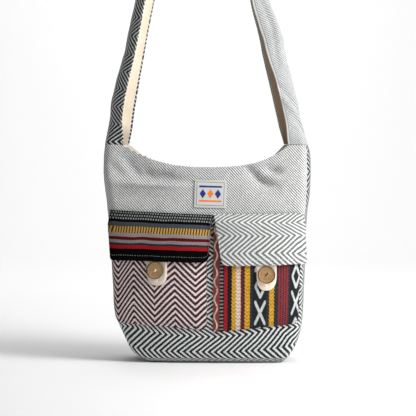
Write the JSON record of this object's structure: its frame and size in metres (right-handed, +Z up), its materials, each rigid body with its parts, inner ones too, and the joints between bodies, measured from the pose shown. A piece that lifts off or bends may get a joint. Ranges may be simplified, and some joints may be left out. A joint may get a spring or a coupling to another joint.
{
  "type": "cotton jhola shoulder bag",
  "caption": "Folk cotton shoulder bag with a deep gusseted body, buttoned patch pockets and a wide folded strap that rises to one loop.",
  "frame": {"origin": "underside of the strap at the top of its arch, where a shoulder or a peg carries the bag", "axes": "+Z up, +X to the viewer's right across the bag, +Y from the front with its pockets to the back; the front faces -Y"},
  "size_m": [0.2898, 0.1247, 0.757],
  "materials": {
    "grey_twill_front": "matt woven cotton",
    "dark_herringbone_front": "matt woven cotton",
    "grey_twill_back": "matt woven cotton",
    "dark_herringbone_side": "matt woven cotton",
    "cream_lining": "matt cotton lining",
    "dark_herringbone_strap": "matt woven cotton",
    "grey_twill_strap": "matt woven cotton",
    "cream_strap_left": "matt cotton lining",
    "cream_strap_right": "matt cotton lining",
    "maroon_herringbone": "matt woven cotton",
    "folk_stripes_pocket": "matt woven cotton",
    "folk_stripes_flap": "matt woven cotton",
    "white_herringbone": "matt woven cotton",
    "label_cloth": "woven label",
    "cream_loop_left": "matt cotton",
    "cream_loop_right": "matt cotton",
    "coconut_left": "satin coconut shell",
    "coconut_right": "satin coconut shell",
    "thread_left": "cotton thread",
    "thread_right": "cotton thread"
  },
  "bodies": {
    "root": {"yoke_front": "grey_twill_front", "lower_front": "dark_herringbone_front", "back_panel": "grey_twill_back", "side_gusset": "dark_herringbone_side", "bag_lining": "cream_lining", "strap_herringbone": "dark_herringbone_strap", "strap_grey": "grey_twill_strap", "strap_lining_left": "cream_strap_left", "strap_lining_right": "cream_strap_right", "pocket_maroon": "maroon_herringbone", "pocket_striped": "folk_stripes_pocket", "flap_striped": "folk_stripes_flap", "flap_white": "white_herringbone", "label_patch": "label_cloth", "loop_left": "cream_loop_left", "loop_right": "cream_loop_right", "button_left": "coconut_left", "button_right": "coconut_right", "thread_left": "thread_left", "thread_right": "thread_right"}
  },
  "joints": []
}
